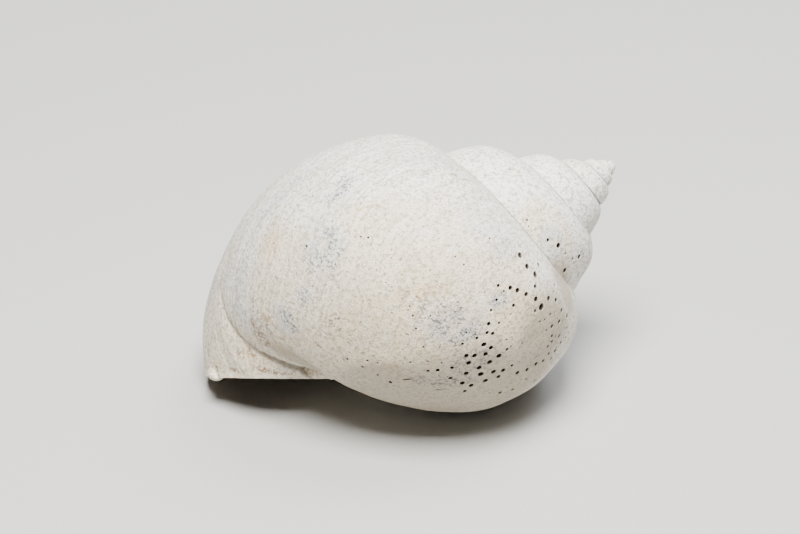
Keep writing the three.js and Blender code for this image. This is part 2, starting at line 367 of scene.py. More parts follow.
# Relief of the outer face, in mm
relief = {
    "swells": [
        # growth angle, place down the section, height, and reach along and down
        (214, 2.22, 0.62, 26, 0.35),
        (58, 2.42, 0.42, 34, 0.28),
        (183, 0.95, -0.24, 45, 0.6),
        (-706, 0.5, -0.33, 60, 0.7),
        (-914, 0.3, -0.22, 45, 0.5),
        (-181, 0.75, 0.22, 35, 0.35),
        (165, 0.12, 0.24, 28, 0.14),
        (13, 0.1, 0.24, 25, 0.15),
        (-347, 0.95, 0.2, 25, 0.15),
    ],
    "dents": [
        # right, up, depth and radius
        (16.7, -8.9, 0.16, 1.3), (18.0, -10.2, -0.07, 1.0), (-2.0, 3.0, 0.06, 3.5), (-14.5, 1.5, 0.06, 3.0),
    ],
    "steps": [(2.3, 0.012), (5.2, 0.022), (13, 0.05)],  # growth lines: degrees apart, and height
    "stepsDown": 1.3,  # how fast they change down the section
    "calm": 8,  # mm from the axis within which they fade
    "slant": [(0, 0), (1, 9), (2, 18), (2.9, 26)],  # they lean back by these degrees down the section
    "unevenness": [(9, 0.09), (3.4, 0.03)],  # mm across, and height
    # where growth paused: angle, and depth of the groove
    "pauses": [(150, 0.07), (163, 0.03), (190, 0.06), (97, 0.02), (226, 0.08)],
    "pauseWidth": 0.7,
    "pauseStart": 0.25,  # place down the section where a groove is whole
    "filled": (0.24, 1.4),  # height and reach in mm: the whorls lean against each other at the sutures
}


def leanedAngle(angles, downs):
    return angles - along(relief["slant"], downs)


def sutureGaps(angles, downs):
    # mm to the suture above, and to the one below, which the last whorl hasn't
    length = zones["sectionLength"] * growth["widthPerTurn"] ** (angles / 360)
    return downs * length, np.where(angles < spireEnd, np.abs(1 - downs) * length, np.inf)


def readPoints(data):
    flat = np.empty(3 * len(data.vertices), np.float32)
    data.vertices.foreach_get("co", flat)
    return flat.reshape(-1, 3) / mm


def readNormals(data):
    flat = np.empty(3 * len(data.vertices), np.float32)
    data.vertex_normals.foreach_get("vector", flat)
    return flat.reshape(-1, 3)


def writePoints(data, points):
    data.vertices.foreach_set("co", (points * mm).astype(np.float32).ravel())
    data.update()


sight = {name: Vector(view[name]) for name in ("place", "right", "up", "sightPoint")}


slideIn = np.linspace(1, 0.9, 41).tolist()  # a place just off the outline slides in by these shares


def onShell(tree, across, above):
    # the point and the outward normal that the viewer sees there, in mm
    for share in slideIn:
        target = sight["sightPoint"] + (sight["right"] * across + sight["up"] * above) * share
        hit, normal, _, _ = tree.ray_cast(sight["place"] * mm, (target - sight["place"]).normalized())
        if hit:
            return hit / mm, normal


def addRelief(piece, skin):
    data = piece.data
    points, normals = readPoints(data), readNormals(data)
    angles, downs = np.concatenate(skin.angles), np.concatenate(skin.downs)
    size = growth["widthPerTurn"] ** (angles / 360)
    coil = (points - growth["apex"]) @ turn
    fade = size * np.clip(np.hypot(coil[:, 0], coil[:, 1]) / relief["calm"], 0, 1)
    leaned = leanedAngle(angles, downs)
    filled, reach = relief["filled"]
    upper, lower = sutureGaps(angles, downs)
    rise = filled * np.minimum(size, 1) * (np.exp(-(upper / reach) ** 2) + np.exp(-(lower / reach) ** 2))
    for angle, down, height, reach, spread in relief["swells"]:
        rise += height * np.exp(-((angles - angle) / reach) ** 2 - ((downs - down) / spread) ** 2)
    for gap, height in relief["steps"]:
        places = zip((leaned / gap).tolist(), (downs * relief["stepsDown"]).tolist())
        waves = [noise.noise((a, d, gap)) for a, d in places]
        rise += height * fade * np.array(waves)
    for across, height in relief["unevenness"]:
        waves = [noise.noise((p / across).tolist()) for p in points]
        rise += height * np.minimum(fade, 1) * np.array(waves)
    for angle, depth in relief["pauses"]:
        groove = np.exp(-((leaned - angle) / relief["pauseWidth"]) ** 2)
        rise -= depth * groove * np.clip(downs / relief["pauseStart"], 0, 1)
    tree = BVHTree.FromObject(piece, bpy.context.evaluated_depsgraph_get())
    for across, above, depth, radius in relief["dents"]:
        middle, _ = onShell(tree, across, above)
        rise -= depth * np.exp(-np.sum((points - np.array(middle)) ** 2, 1) / radius ** 2)
    writePoints(data, points + normals * rise[:, None])


def block(name, size, corner, tilt):
    work = bmesh.new()
    bmesh.ops.create_cube(work, size=size * mm)
    work.transform(Matrix.Translation(Vector(corner) * mm) @ tilt)
    return linkWork(name, work)


def pebble(name):
    middle, halves, spin = pebbles[name]
    work = bmesh.new()
    bmesh.ops.create_icosphere(work, subdivisions=4, radius=mm)
    work.transform(Matrix.Translation(Vector(middle) * mm) @ Matrix.Rotation(math.radians(spin), 4, "Z")
                   @ Matrix.Diagonal((*halves, 1)))
    return linkWork(name, work)


def linkWork(name, work):
    data = bpy.data.meshes.new(name)
    work.to_mesh(data)
    work.free()
    piece = bpy.data.objects.new(name, data)
    bpy.context.scene.collection.objects.link(piece)
    return piece


def carve(piece, steps):
    # joins and cuts in order, then lets the tools go
    for operation, tool in steps:
        step = piece.modifiers.new("carve", "BOOLEAN")
        step.operation = operation
        step.solver = "MANIFOLD"
        step.object = tool
    evaluated = piece.evaluated_get(bpy.context.evaluated_depsgraph_get())
    data = bpy.data.meshes.new_from_object(evaluated)
    piece.modifiers.clear()
    piece.data = data
    for _, tool in steps:
        bpy.data.objects.remove(tool)


worn = {
    "sharp": 32,  # degrees from which an edge is worn
    "hollow": 12,  # degrees from which a hollow edge beside a swelling is blended
    "blended": ("callus", "crease_end", "lip_corner"),
    "around": 2.6,  # mm
    "reach": 0.75,  # mm
    "passes": 7,
    "pull": 0.6,
    "shortest": 0.15,  # mm; shorter edges pull no harder
    "shadedSharp": 50,  # degrees
}


def treeOf(points):
    tree = kdtree.KDTree(len(points))
    for i, p in enumerate(points.tolist()):
        tree.insert(p, i)
    tree.balance()
    return tree


def wearEdges(piece):
    # rounds the edges of the mouth, less and less away from each sharp edge
    data = piece.data
    work = bmesh.new()
    work.from_mesh(data)
    sharp = set()
    middles = [Vector(pebbles[name][0]) for name in worn["blended"]]
    for edge in work.edges:
        if not edge.is_manifold:
            continue
        bend = math.degrees(edge.calc_face_angle_signed())
        spot = edge.verts[0].co / mm
        blended = bend < -worn["hollow"] and any((spot - m).length < worn["around"] for m in middles)
        if bend > worn["sharp"] or blended:
            sharp.update(v.index for v in edge.verts)
    work.free()
    points = readPoints(data)
    tree = treeOf(points[sorted(sharp)])
    away = np.array([tree.find(p)[2] for p in points.tolist()])
    edges = np.empty(2 * len(data.edges), np.int32)
    data.edges.foreach_get("vertices", edges)
    a, b = edges.reshape(-1, 2).T
    moved = np.clip(1 - away / worn["reach"], 0, 1)
    for _ in range(worn["passes"]):
        pull = 1 / (worn["shortest"] + np.linalg.norm(points[a] - points[b], axis=1)) ** 2
        total = np.bincount(a, pull, len(points)) + np.bincount(b, pull, len(points))
        sums = [np.bincount(a, pull * points[b, k], len(points))
                + np.bincount(b, pull * points[a, k], len(points)) for k in range(3)]
        mean = np.stack(sums, 1) / total[:, None]
        points = points + (mean - points) * (worn["pull"] * moved)[:, None]
    points[:, 2] = np.maximum(points[:, 2], 0)
    writePoints(data, points)


# Small round bore holes, and gouges and chips: places in mm right and up as seen
pits = {
    "bored": [
        # right, up, width
        (17.7, -5.0, 0.52), (17.0, -4.0, 0.4), (18.6, -3.9, 0.36), (19.5, -4.1, 0.32), (15.9, 0.1, 0.4),
        (16.9, -0.9, 0.42), (15.0, 1.5, 0.42), (17.3, 0.3, 0.3), (12.3, -2.3, 0.32), (13.8, -2.6, 0.42),
        (14.7, -2.9, 0.44), (15.8, -3.4, 0.38), (16.9, -2.4, 0.32), (14.2, -4.8, 0.34), (12.1, -4.1, 0.28),
        (13.0, -3.0, 0.22), (19.4, -2.3, 0.24), (19.2, -3.1, 0.22), (20.2, -5.4, 0.32), (20.9, -6.1, 0.34),
        (19.9, -6.8, 0.32), (19.0, -7.4, 0.3), (18.8, -5.9, 0.22), (16.9, -5.5, 0.26), (11.4, -5.4, 0.28),
        (12.4, -7.0, 0.26), (11.1, -7.1, 0.38), (10.9, -8.2, 0.34), (11.6, -8.3, 0.34), (9.6, -8.9, 0.3),
        (7.8, -9.6, 0.28), (10.5, -9.7, 0.46), (11.4, -10.1, 0.38), (13.4, -10.3, 0.28), (8.3, -11.1, 0.4),
        (9.3, -11.1, 0.42), (10.7, -10.9, 0.4), (12.4, -11.1, 0.42), (8.6, -12.0, 0.42),
        (11.2, -11.9, 0.42), (9.9, -12.6, 0.38), (8.3, -13.3, 0.36), (9.0, -13.2, 0.34),
        (10.1, -13.4, 0.42), (11.7, -13.1, 0.36), (12.9, -12.9, 0.34), (12.3, -13.7, 0.32),
        (10.7, -14.2, 0.36), (14.7, -13.2, 0.32), (15.9, -12.8, 0.32), (17.0, -12.1, 0.32),
        (17.9, -11.7, 0.28), (18.9, -11.4, 0.24), (18.6, -10.8, 0.26), (19.4, -10.4, 0.28),
        (18.5, -9.9, 0.26), (19.0, -9.3, 0.24), (20.1, -9.4, 0.26), (19.0, -8.6, 0.26), (19.9, -8.6, 0.26),
        (20.7, -8.8, 0.24), (14.0, -12.3, 0.24), (6.5, -12.6, 0.3), (4.7, -12.9, 0.32), (3.5, -13.0, 0.26),
        (6.3, -13.9, 0.28), (7.8, -14.5, 0.36), (8.9, -14.8, 0.34), (8.1, -15.5, 0.26), (12.5, -15.7, 0.28),
        (14.1, -15.3, 0.28), (16.8, -14.2, 0.22), (15.8, -14.0, 0.22), (20.8, -7.6, 0.24),
        (17.5, -6.8, 0.18), (18.1, -6.6, 0.18), (18.3, -7.9, 0.18), (8.3, -8.2, 0.2), (7.6, -7.1, 0.16),
        (7.6, -5.1, 0.17), (7.2, -4.4, 0.17), (8.0, 0.3, 0.2), (6.9, 1.3, 0.18), (11.2, 3.6, 0.2),
        (3.8, -6.1, 0.2), (3.4, -11.8, 0.2), (2.9, -10.0, 0.22), (5.2, -12.0, 0.2), (13.9, -5.9, 0.17),
        (13.3, -9.1, 0.18), (13.9, -9.9, 0.18), (15.3, -9.5, 0.16), (16.1, 5.1, 0.18), (15.9, 5.9, 0.24),
        (16.3, 5.1, 0.32), (18.5, 3.4, 0.3), (19.8, 2.7, 0.44), (22.4, 1.3, 0.34), (20.6, -0.4, 0.34),
        (21.6, 1.0, 0.22), (20.7, 1.7, 0.2), (23.3, 1.3, 0.18), (-11.7, 2.6, 0.24), (-4.9, 3.8, 0.2),
        (-4.0, 3.7, 0.24), (1.2, -4.9, 0.2), (1.0, -5.4, 0.18), (1.6, -6.1, 0.24), (2.0, -7.7, 0.22),
        (0.8, -8.4, 0.17), (-1.3, -3.0, 0.16), (0.0, 0.9, 0.16), (-6.6, -11.5, 0.2), (-4.1, -11.7, 0.2),
        (-2.8, -12.0, 0.18), (1.3, -11.9, 0.2), (-4.7, -12.5, 0.2), (-2.8, -13.5, 0.18),
        (-1.2, -14.4, 0.26), (4.7, 13.4, 0.16),
    ],
    "cut": [
        # right, up, length, width, depth and turn
        (0.9, -14.05, 1.7, 0.3, 0.16, 17), (2.7, -13.0, 0.9, 0.16, 0.1, 2),
        (3.9, -12.95, 0.9, 0.12, 0.1, 6), (5.1, -15.3, 2.6, 0.2, 0.1, 5),
        (-0.9, -15.6, 2.9, 0.14, 0.07, 15), (-12.9, -6.6, 0.5, 0.14, 0.12, -68),
        (-14.5, -6.9, 0.8, 0.16, 0.1, -52), (-10.3, -9.8, 0.7, 0.12, 0.1, -55),
        (0.1, -4.8, 0.8, 0.08, 0.06, 36), (-23.0, -0.6, 0.5, 0.35, 0.2, 75),
        (-22.0, 2.25, 0.5, 0.3, 0.16, 65),
    ],
    # on the far side of the last whorl
    "unseen": {"count": 80, "angles": (-95, 0), "downs": (0.45, 2.1), "widths": (0.2, 0.42), "seed": 7},
    "onFace": 0.05,  # mm from the face, within which an unseen hole is made
    "apart": 1.4,  # half widths that two holes are apart
    "sides": 12,
    "rough": 0.14,  # share by which the outline of a hole is uneven
    "roughness": (1.5, 3.7),  # how fast that changes round a hole, and from hole to hole
    # depth and width, as shares
    "profile": [(-0.6, 1.3), (-0.12, 1.12), (0.0, 1.0), (0.2, 0.86), (0.55, 0.74), (0.85, 0.5)],
    "boreDepth": 2.1,  # in widths
    "wider": 1.25,  # the worn mouth of a hole against the width given
    "facing": 0.65,  # widths are as seen, so holes on turned-away parts are wider, up to one over this
}


def pitTools(piece, skinPoints, skinNormals, skin):
    # for each hole: middle, outward normal, direction along it, half length, half width and depth
    tree = BVHTree.FromObject(piece, bpy.context.evaluated_depsgraph_get())
    tools = []
    for across, above, width in pits["bored"]:
        middle, normal = onShell(tree, across, above)
        facing = max(pits["facing"], normal.dot((sight["place"] - middle).normalized()))
        half = width * pits["wider"] / 2 / facing
        tools.append((middle, normal, sight["right"], half, half, width * pits["boreDepth"]))
    for across, above, length, width, depth, spin in pits["cut"]:
        middle, normal = onShell(tree, across, above)
        a = math.radians(spin)
        lengthwise = sight["right"] * math.cos(a) + sight["up"] * math.sin(a)
        tools.append((middle, normal, lengthwise, length / 2, width / 2, depth))
    unseen = pits["unseen"]
    draw = random.Random(unseen["seed"])
    angles, downs = np.concatenate(skin.angles), np.concatenate(skin.downs)
    toEye = np.array(sight["place"]) - skinPoints
    hidden = np.sum(toEye * skinNormals, 1) < 0
    for value, (low, high) in ((angles, unseen["angles"]), (downs, unseen["downs"])):
        hidden &= (value > low) & (value < high)
    for i in draw.sample(np.flatnonzero(hidden).tolist(), unseen["count"]):
        half = draw.uniform(*unseen["widths"]) / 2
        hit, normal, _, gap = tree.find_nearest(Vector(skinPoints[i]) * mm)
        if gap < pits["onFace"] * mm:
            tools.append((hit / mm, normal, sight["right"], half, half, half * 2 * pits["boreDepth"]))
    apart = []
    for tool in tools:
        if all((tool[0] - other[0]).length > (tool[3] + other[3]) * pits["apart"] for other in apart):
            apart.append(tool)
    return apart


def toolAxes(normal, lengthwise):
    inPlane = (lengthwise - normal * lengthwise.dot(normal)).normalized()
    return Matrix((inPlane, normal.cross(inPlane), normal)).transposed()


def pitCutter(tools):
    points, faces = [], []
    sides = pits["sides"]
    around, perPit = pits["roughness"]
    for k, (middle, normal, lengthwise, halfLength, halfWidth, depth) in enumerate(tools):
        axes = toolAxes(normal, lengthwise)
        first = len(points)
        for share, width in pits["profile"]:
            height = -share * (depth if share > 0 else min(depth, halfWidth))
            for side in range(sides):
                a = 2 * math.pi * side / sides
                x, y = math.cos(a), math.sin(a)
                uneven = width * (1 + pits["rough"] * noise.noise((x * around, y * around, k * perPit)))
                local = Vector((x * halfLength * uneven, y * halfWidth * uneven, height))
                points.append((middle + axes @ local) * mm)
        rings = len(pits["profile"])
        for ring in range(rings - 1):
            for side in range(sides):
                a, b = first + ring * sides + side, first + ring * sides + (side + 1) % sides
                faces.append([a, b, b + sides, a + sides])
        faces.append([first + side for side in range(sides)])
        points.append((middle - normal * depth) * mm)
        last = first + (rings - 1) * sides
        faces += [[last + side, last + (side + 1) % sides, len(points) - 1] for side in range(sides)]
    return meshPiece("pit_cut", points, faces)


# Zones that the material reads, from where each point lies on the coil
zones = {
    "suture": 0.24,  # mm on each side of the dark line painted in each suture as shade
    "seam": 0.7,  # mm, the dull ramp below the suture, painted with a bluish shade
    "finer": 1.5,  # both are narrower on whorls smaller than one over this
    "sutureSeen": (0.08, 0.18),  # and come in between these sizes, so that the tip has none
    "sectionLength": 15.5,  # mm from suture to suture at growth angle 0
    # mm on each side of a dark line painted along the crease as shade
    "crease": 0.28,
    "creaseShift": 0.1,
    "baseFrom": 1.9,  # place down the section
    "creaseSeen": [(30, 0), (60, 1), (180, 1), (196, 0)],
    "linesSeen": [(0, 0.3), (60, 0.45), (120, 0.75), (150, 1), (285, 1)],
    "inside": (0.25, 0.9),  # mm below the outer face
    "lip": 0.8,
    "sunk": (0.04, 0.14),  # mm below the face where the painted shade inside a hole begins, and is whole
    "besideHole": 1.1,  # in half widths
    "pauseDepth": 0.1,  # mm, of a groove whose colour is whole
}


def addZones(piece, skin, skinPoints, skinNormals, lipPoints, tools):
    data = piece.data
    points = readPoints(data)
    angles, downs = np.concatenate(skin.angles), np.concatenate(skin.downs)
    tree = treeOf(skinPoints)
    near = np.array([tree.find(p)[1] for p in points.tolist()])
    angle, down = angles[near], downs[near]
    size = growth["widthPerTurn"] ** (angle / 360)
    below = -np.sum((points - skinPoints[near]) * skinNormals[near], 1)
    zone = {}
    low, high = zones["inside"]
    zone["inside"] = np.clip((below - low) / (high - low), 0, 1)
    upper, lower = sutureGaps(angle, down)
    narrower = np.minimum(zones["finer"] * size, 1)
    smallest, whole = zones["sutureSeen"]
    seen = (zone["inside"] < 0.5) * np.clip((size - smallest) / (whole - smallest), 0, 1)
    # the dark suture line and the bluish band below it are painted shade
    for name, gap in (("suture", np.minimum(upper, lower)), ("seam", upper)):
        zone[name] = np.exp(-(gap / zones[name] / narrower) ** 2) * seen
    radius = (3 - down) * whorl["baseRadius"]
    offCrease = (radius - along(whorl["creaseRadius"], angle) + zones["creaseShift"]) * size
    creaseSeen = along(zones["creaseSeen"], angle) * (down > zones["baseFrom"])
    # the dark line along the crease is painted shade
    zone["crease"] = np.exp(-(offCrease / zones["crease"]) ** 2) * creaseSeen
    leaned = leanedAngle(angle, down)
    zone["pause"] = sum(depth / zones["pauseDepth"] * np.exp(-((leaned - at) / relief["pauseWidth"]) ** 2)
                        for at, depth in relief["pauses"])
    zone["lines"] = along(zones["linesSeen"], angle)
    lipTree = treeOf(lipPoints)
    away = np.array([lipTree.find(p)[2] for p in points.tolist()])
    zone["lip"] = np.exp(-(away / zones["lip"]) ** 2)
    # how deep each point sits in a hole, for the shade painted there
    pit = np.zeros(len(points))
    own = treeOf(points)
    shallow, deep = zones["sunk"]
    for middle, normal, _, halfLength, _, depth in tools:
        for p, i, _ in own.find_range(middle, (halfLength + depth) * zones["besideHole"]):
            sunk = -(p - middle).dot(normal)
            beside = (p - middle + normal * sunk).length
            if beside < halfLength * zones["besideHole"] and sunk > shallow:
                pit[i] = max(pit[i], min(1, (sunk - shallow) / (deep - shallow)))
    zone["pit"] = pit
    for name, values in zone.items():
        layer = data.attributes.new(name, "FLOAT", "POINT")
        layer.data.foreach_set("value", np.asarray(values, np.float32))


def sharpPoints(piece, degrees):
    work = bmesh.new()
    work.from_mesh(piece.data)
    found = set()
    for edge in work.edges:
        if edge.is_manifold and edge.calc_face_angle_signed() > math.radians(degrees):
            found.update(v.index for v in edge.verts)
    work.free()
    return readPoints(piece.data)[sorted(found)]


filled = filledShell()
shell = filled.mesh("moon_snail_shell")
addRelief(shell, filled)
skinPoints, skinNormals = readPoints(shell.data), readNormals(shell.data)
half = rim["size"] / 2
rimTilt = (Matrix.Rotation(math.radians(rim["roll"]), 4, "Y")
           @ Matrix.Rotation(-math.radians(rim["slope"]), 4, "X")
           @ Matrix.Translation(Vector((-half, -half, -half)) * mm))
belowFloor = 200  # mm, the height and width of what is cut off there
carve(shell, [
    ("DIFFERENCE", hollowTube().mesh("hollow_cut")),
    ("UNION", pebble("callus")),
    ("UNION", pebble("crease_end")),
    ("DIFFERENCE", block("rim_cut", rim["size"], rim["corner"], rimTilt)),
    ("UNION", pebble("lip_corner")),
    ("UNION", pebble("first_whorl")),
    ("DIFFERENCE", block("floor_cut", belowFloor, (0, 0, -belowFloor / 2), Matrix())),
])
lipPoints = sharpPoints(shell, worn["sharp"])
wearEdges(shell)
tools = pitTools(shell, skinPoints, skinNormals, filled)
carve(shell, [("DIFFERENCE", pitCutter(tools))])
addZones(shell, filled, skinPoints, skinNormals, lipPoints, tools)
shell.data.polygons.foreach_set("use_smooth", [True] * len(shell.data.polygons))
shell.data.set_sharp_from_angle(angle=math.radians(worn["shadedSharp"]))
print("shell carved,", len(shell.data.vertices), "vertices,", len(shell.data.polygons), "faces")
print(len(tools), "holes and cuts made")

# Camera
eye = bpy.data.cameras.new("camera")
eye.lens = view["lens"]
eye.sensor_width = view["sensor"]
eye.clip_start, eye.clip_end = view["clip"]
cameraObject = bpy.data.objects.new("camera", eye)
facing = Matrix((sight["right"], sight["up"], sight["right"].cross(sight["up"]))).transposed().to_4x4()
cameraObject.matrix_world = Matrix.Translation(sight["place"] * mm) @ facing
bpy.context.scene.collection.objects.link(cameraObject)
bpy.context.scene.camera = cameraObject


def addNode(tree, kind, settings=None, links=None):
    # one node with its settings, and its inputs from other nodes' outputs or as values
    node = tree.nodes.new(kind)
    for name, value in (settings or {}).items():
        setattr(node, name, value)
    for name, value in (links or {}).items():
        if isinstance(value, bpy.types.NodeSocket):
            tree.links.new(value, node.inputs[name])
        else:
            node.inputs[name].default_value = value
    return node


def colour(hexText):
    # sRGB hex to linear
    parts = [int(hexText[i:i + 2], 16) / 255 for i in (1, 3, 5)]
    return tuple(c / 12.92 if c <= 0.04045 else ((c + 0.055) / 1.055) ** 2.4 for c in parts) + (1,)


# Patches on the shell: right and up as seen, length and width in mm, and turn
marks = {
    "creamy": [
        (-1.0, 0.5, 17, 12, 15), (9.5, -2.5, 14, 10, -20), (-14.5, -2.5, 8, 12, 0), (-21.0, -11.0, 8, 6, 0),
        (-6.0, -9.0, 15, 8, 0), (18.5, 5.0, 6, 4, -50),
    ],
    "warm": [
        (-3.0, -7.5, 11, 8, 20), (5.5, -8.5, 10, 6, 0), (0.5, -11.0, 13, 4.5, 5), (-16.2, 3.2, 3, 3, 60),
        (3.5, -2.0, 9, 6, 30), (14.5, -6.0, 6, 5, 0), (-12.5, -9.5, 8, 4, -40),
    ],
    "cool": [
        (11.3, 4.6, 6, 3.5, -45), (12.5, -4.2, 2.4, 1.2, 20), (-9.5, 3.0, 5, 4, -70), (-7.5, 9.8, 4, 2, 45),
        (-11.5, -3.3, 3, 1.6, 40), (2.5, 13.6, 7, 3, -20), (-15.0, 9.0, 9, 2.2, 45),
        (19.0, 3.0, 4, 2.5, -60), (-14.5, -6.5, 4, 2.5, -50), (7.0, -7.5, 5, 3, 0), (-22.5, 0.5, 8, 3, 75),
        (-20.0, -3.5, 6, 2.5, 80),
    ],
    # painted shade: darker warm patches low on the right and along the base, partly also a sediment-stain
    # tone
    "paintedShadeAndStain": [
        (8.0, -14.0, 14, 6.5, 5), (18.0, -8.5, 9, 6.5, 60), (-1.0, -13.5, 9, 3, 12),
        (20.5, -2.5, 5, 4, -60), (-13.0, -11.5, 6, 2.5, -25), (3.0, -16.6, 18, 8, 3),
        (13.0, -15.0, 13, 8, 22), (6.0, -16.9, 14, 7, 5),
    ],
    "stipple": [
        (-8.8, 2.4, 4.2, 2.0, -70), (-10.2, 1.0, 3.0, 2.2, 20), (-7.7, 9.6, 3.4, 1.6, 45),
        (-7.0, 11.2, 1.4, 0.8, 50), (-11.6, -3.3, 2.2, 1.4, 35), (-14.0, -6.5, 2.4, 1.3, -55),
        (7.0, -8.4, 4.6, 3.2, 10), (9.0, -11.8, 4.0, 2.6, 10), (4.6, -5.6, 4.0, 2.4, -10),
        (6.5, -14.2, 4.5, 1.8, 10), (-8.5, -7.2, 2.8, 1.5, 40), (3.0, -14.2, 2.6, 1.0, 0),
        (-17.5, -7.0, 3.0, 2.0, -55), (12.0, -4.0, 2.6, 1.6, 10),
    ],
    "stain": [
        (-18.4, -4.1, 0.4, 0.9, 0), (-18.3, -7.25, 1.9, 0.7, -63), (-17.0, -9.1, 2.3, 0.7, -65),
        (-23.1, -8.9, 0.35, 0.8, 0), (-16.8, -12.9, 2.6, 0.6, -7), (-22.9, -12.5, 1.0, 0.5, -50),
        (-15.2, -13.3, 2.2, 0.4, -10), (-10.2, -9.8, 0.9, 0.3, -60), (-20.6, -12.9, 2.0, 0.4, 0),
        (-20.1, -10.7, 0.6, 0.5, 0), (5.1, 6.7, 0.35, 0.35, 0), (-18.6, -10.8, 1.2, 0.5, -30),
        (-17.6, -8.5, 3.0, 1.6, -58), (7.0, 11.4, 1.0, 0.4, -20),
    ],
    "yellowish": [
        (-4.7, 7.6, 3.2, 1.0, -3), (-16.6, -11.8, 6, 2.2, -10), (-16.5, -8.0, 5, 3, -55),
        (14.1, 12.2, 1.2, 0.6, -30), (3.5, -3.0, 4, 2, 20), (-12.0, -13.2, 5, 1.2, 0),
    ],
}

# The fossil's aragonite has turned chalky: dull and fine-grained, off-white with warm and bluish
# parts, with grey dots where sediment stained it and brown iron stains near the base.
# Lengths are in mm
# Some layers are painted shade: a darker warm tone low on the right (partly also sediment stain), dark lines
# in the sutures and along the crease, a bluish band below the sutures, and the dark inside holes and
# pinholes.
chalk = {
    "pale": "#ecebe7", "cream": "#e9dcc3", "warm": "#dfc69c", "bluish": "#c6ccd3", "paintedShadeAndStain": "#a0937c",
    "speck": "#8f8472", "lineShade": "#a39580", "groove": "#857a69", "seam": "#a9afb7", "suture": "#6e6658",
    "crease": "#5d5344", "lip": "#f0e4cf", "yellowish": "#cfb078", "stain": "#76562a", "dot": "#595e66",
    "strayDot": "#6d675e", "pinhole": "#453d33", "inside": "#d2bf9f", "pit": "#2a2119",
    "ior": 1.55,  # aragonite is 1.53 to 1.69
    "roughness": {"from": (0.3, 0.7), "to": (0.5, 0.72)},  # worn smooth places, and chalky ones
    # size and detail of each, from the cloudy parts to the grain
    "noises": {
        "clouds": (6, 3), "mottle": (1.6, 4), "specks": (0.5, 4), "dots": (0.36, 2), "grain": (0.22, 3),
    },
    "fineness": 0.6,  # how strong the finer parts of a noise are
    "pinholes": {"apart": 0.9, "edge": (0.16, 0.07), "kept": (0.48, 0.53)},
    "lines": {"fineLines": 0.4, "broadLines": 1.3},  # from one to the next
    "lineDetail": 3,
    "lineLength": 5,
    "meanRadius": 24,
    "lean": {"steepness": (0.88, 0.2), "degrees": -24},  # the growth lines lean back towards the base
    "layers": [
        # colour, how strong, and for each thing that limits it the values between which it comes in
        ("cream", 0.8, [("creamy", 0.0, 0.5), ("clouds", 0.1, 0.5)]),
        ("cream", 0.5, [("height", 24, 8)]),
        ("cream", 0.35, [("clouds", 0.45, 0.65)]),
        ("warm", 0.6, [("warm", 0.0, 0.7), ("mottle", 0.3, 0.65)]),
        ("bluish", 0.7, [("cool", 0.0, 0.6), ("mottle", 0.3, 0.62)]),
        # painted shade low on the right and at the base, partly also sediment stain
        ("paintedShadeAndStain", 0.8, [("paintedShadeAndStain", 0.0, 0.6)]),
        ("yellowish", 0.8, [("yellowish", 0.0, 0.6), ("mottle", 0.35, 0.6), ("specks", 0.4, 0.6)]),
        ("speck", 0.65, [("specks", 0.47, 0.65)]),
        ("speck", 0.6, [("grain", 0.5, 0.66)]),
        ("lineShade", 0.3, [("broadLines", 0.42, 0.7), ("lines", 0, 1)]),
        ("lineShade", 0.4, [("fineLines", 0.45, 0.68), ("lines", 0, 1)]),
        ("groove", 0.4, [("pause", 0, 1)]),
        # painted shade: a bluish band below each suture, and a dark line in the suture itself
        ("seam", 0.6, [("seam", 0, 1), ("mottle", 0.25, 0.55)]),
        ("suture", 0.9, [("suture", 0, 1), ("mottle", 0.25, 0.5)]),
        ("lip", 0.55, [("lip", 0, 1)]),
        # painted shade: a thin dark line along the crease
        ("crease", 0.75, [("crease", 0, 1)]),
        ("stain", 0.9, [("stain", 0.0, 0.75), ("specks", 0.3, 0.52), ("grain", 0.36, 0.56),
                        ("inside", 1, 0)]),
        ("dot", 0.8, [("stipple", 0.0, 0.5), ("mottle", 0.35, 0.55), ("dots", 0.5, 0.6)]),
        ("strayDot", 0.65, [("dots", 0.6, 0.68), ("clouds", 0.35, 0.55)]),
        # painted shade of tiny holes, as dark dots
        ("pinhole", 0.75, [("pinholes", 0, 1)]),
        ("inside", 0.7, [("inside", 0, 1)]),
        # painted shade: near-black inside the holes
        ("pit", 0.95, [("pit", 0, 1)]),
    ],
    "heights": [
        # what rises or sinks, how far, and what limits it
        ("grain", 0.09, None), ("specks", 0.11, None), ("mottle", 0.11, None),
        ("fineLines", 0.08, "lines"), ("broadLines", 0.08, "lines"),
        ("dot", -0.04, None), ("strayDot", -0.04, None), ("pinhole", -0.08, None),
    ],
}


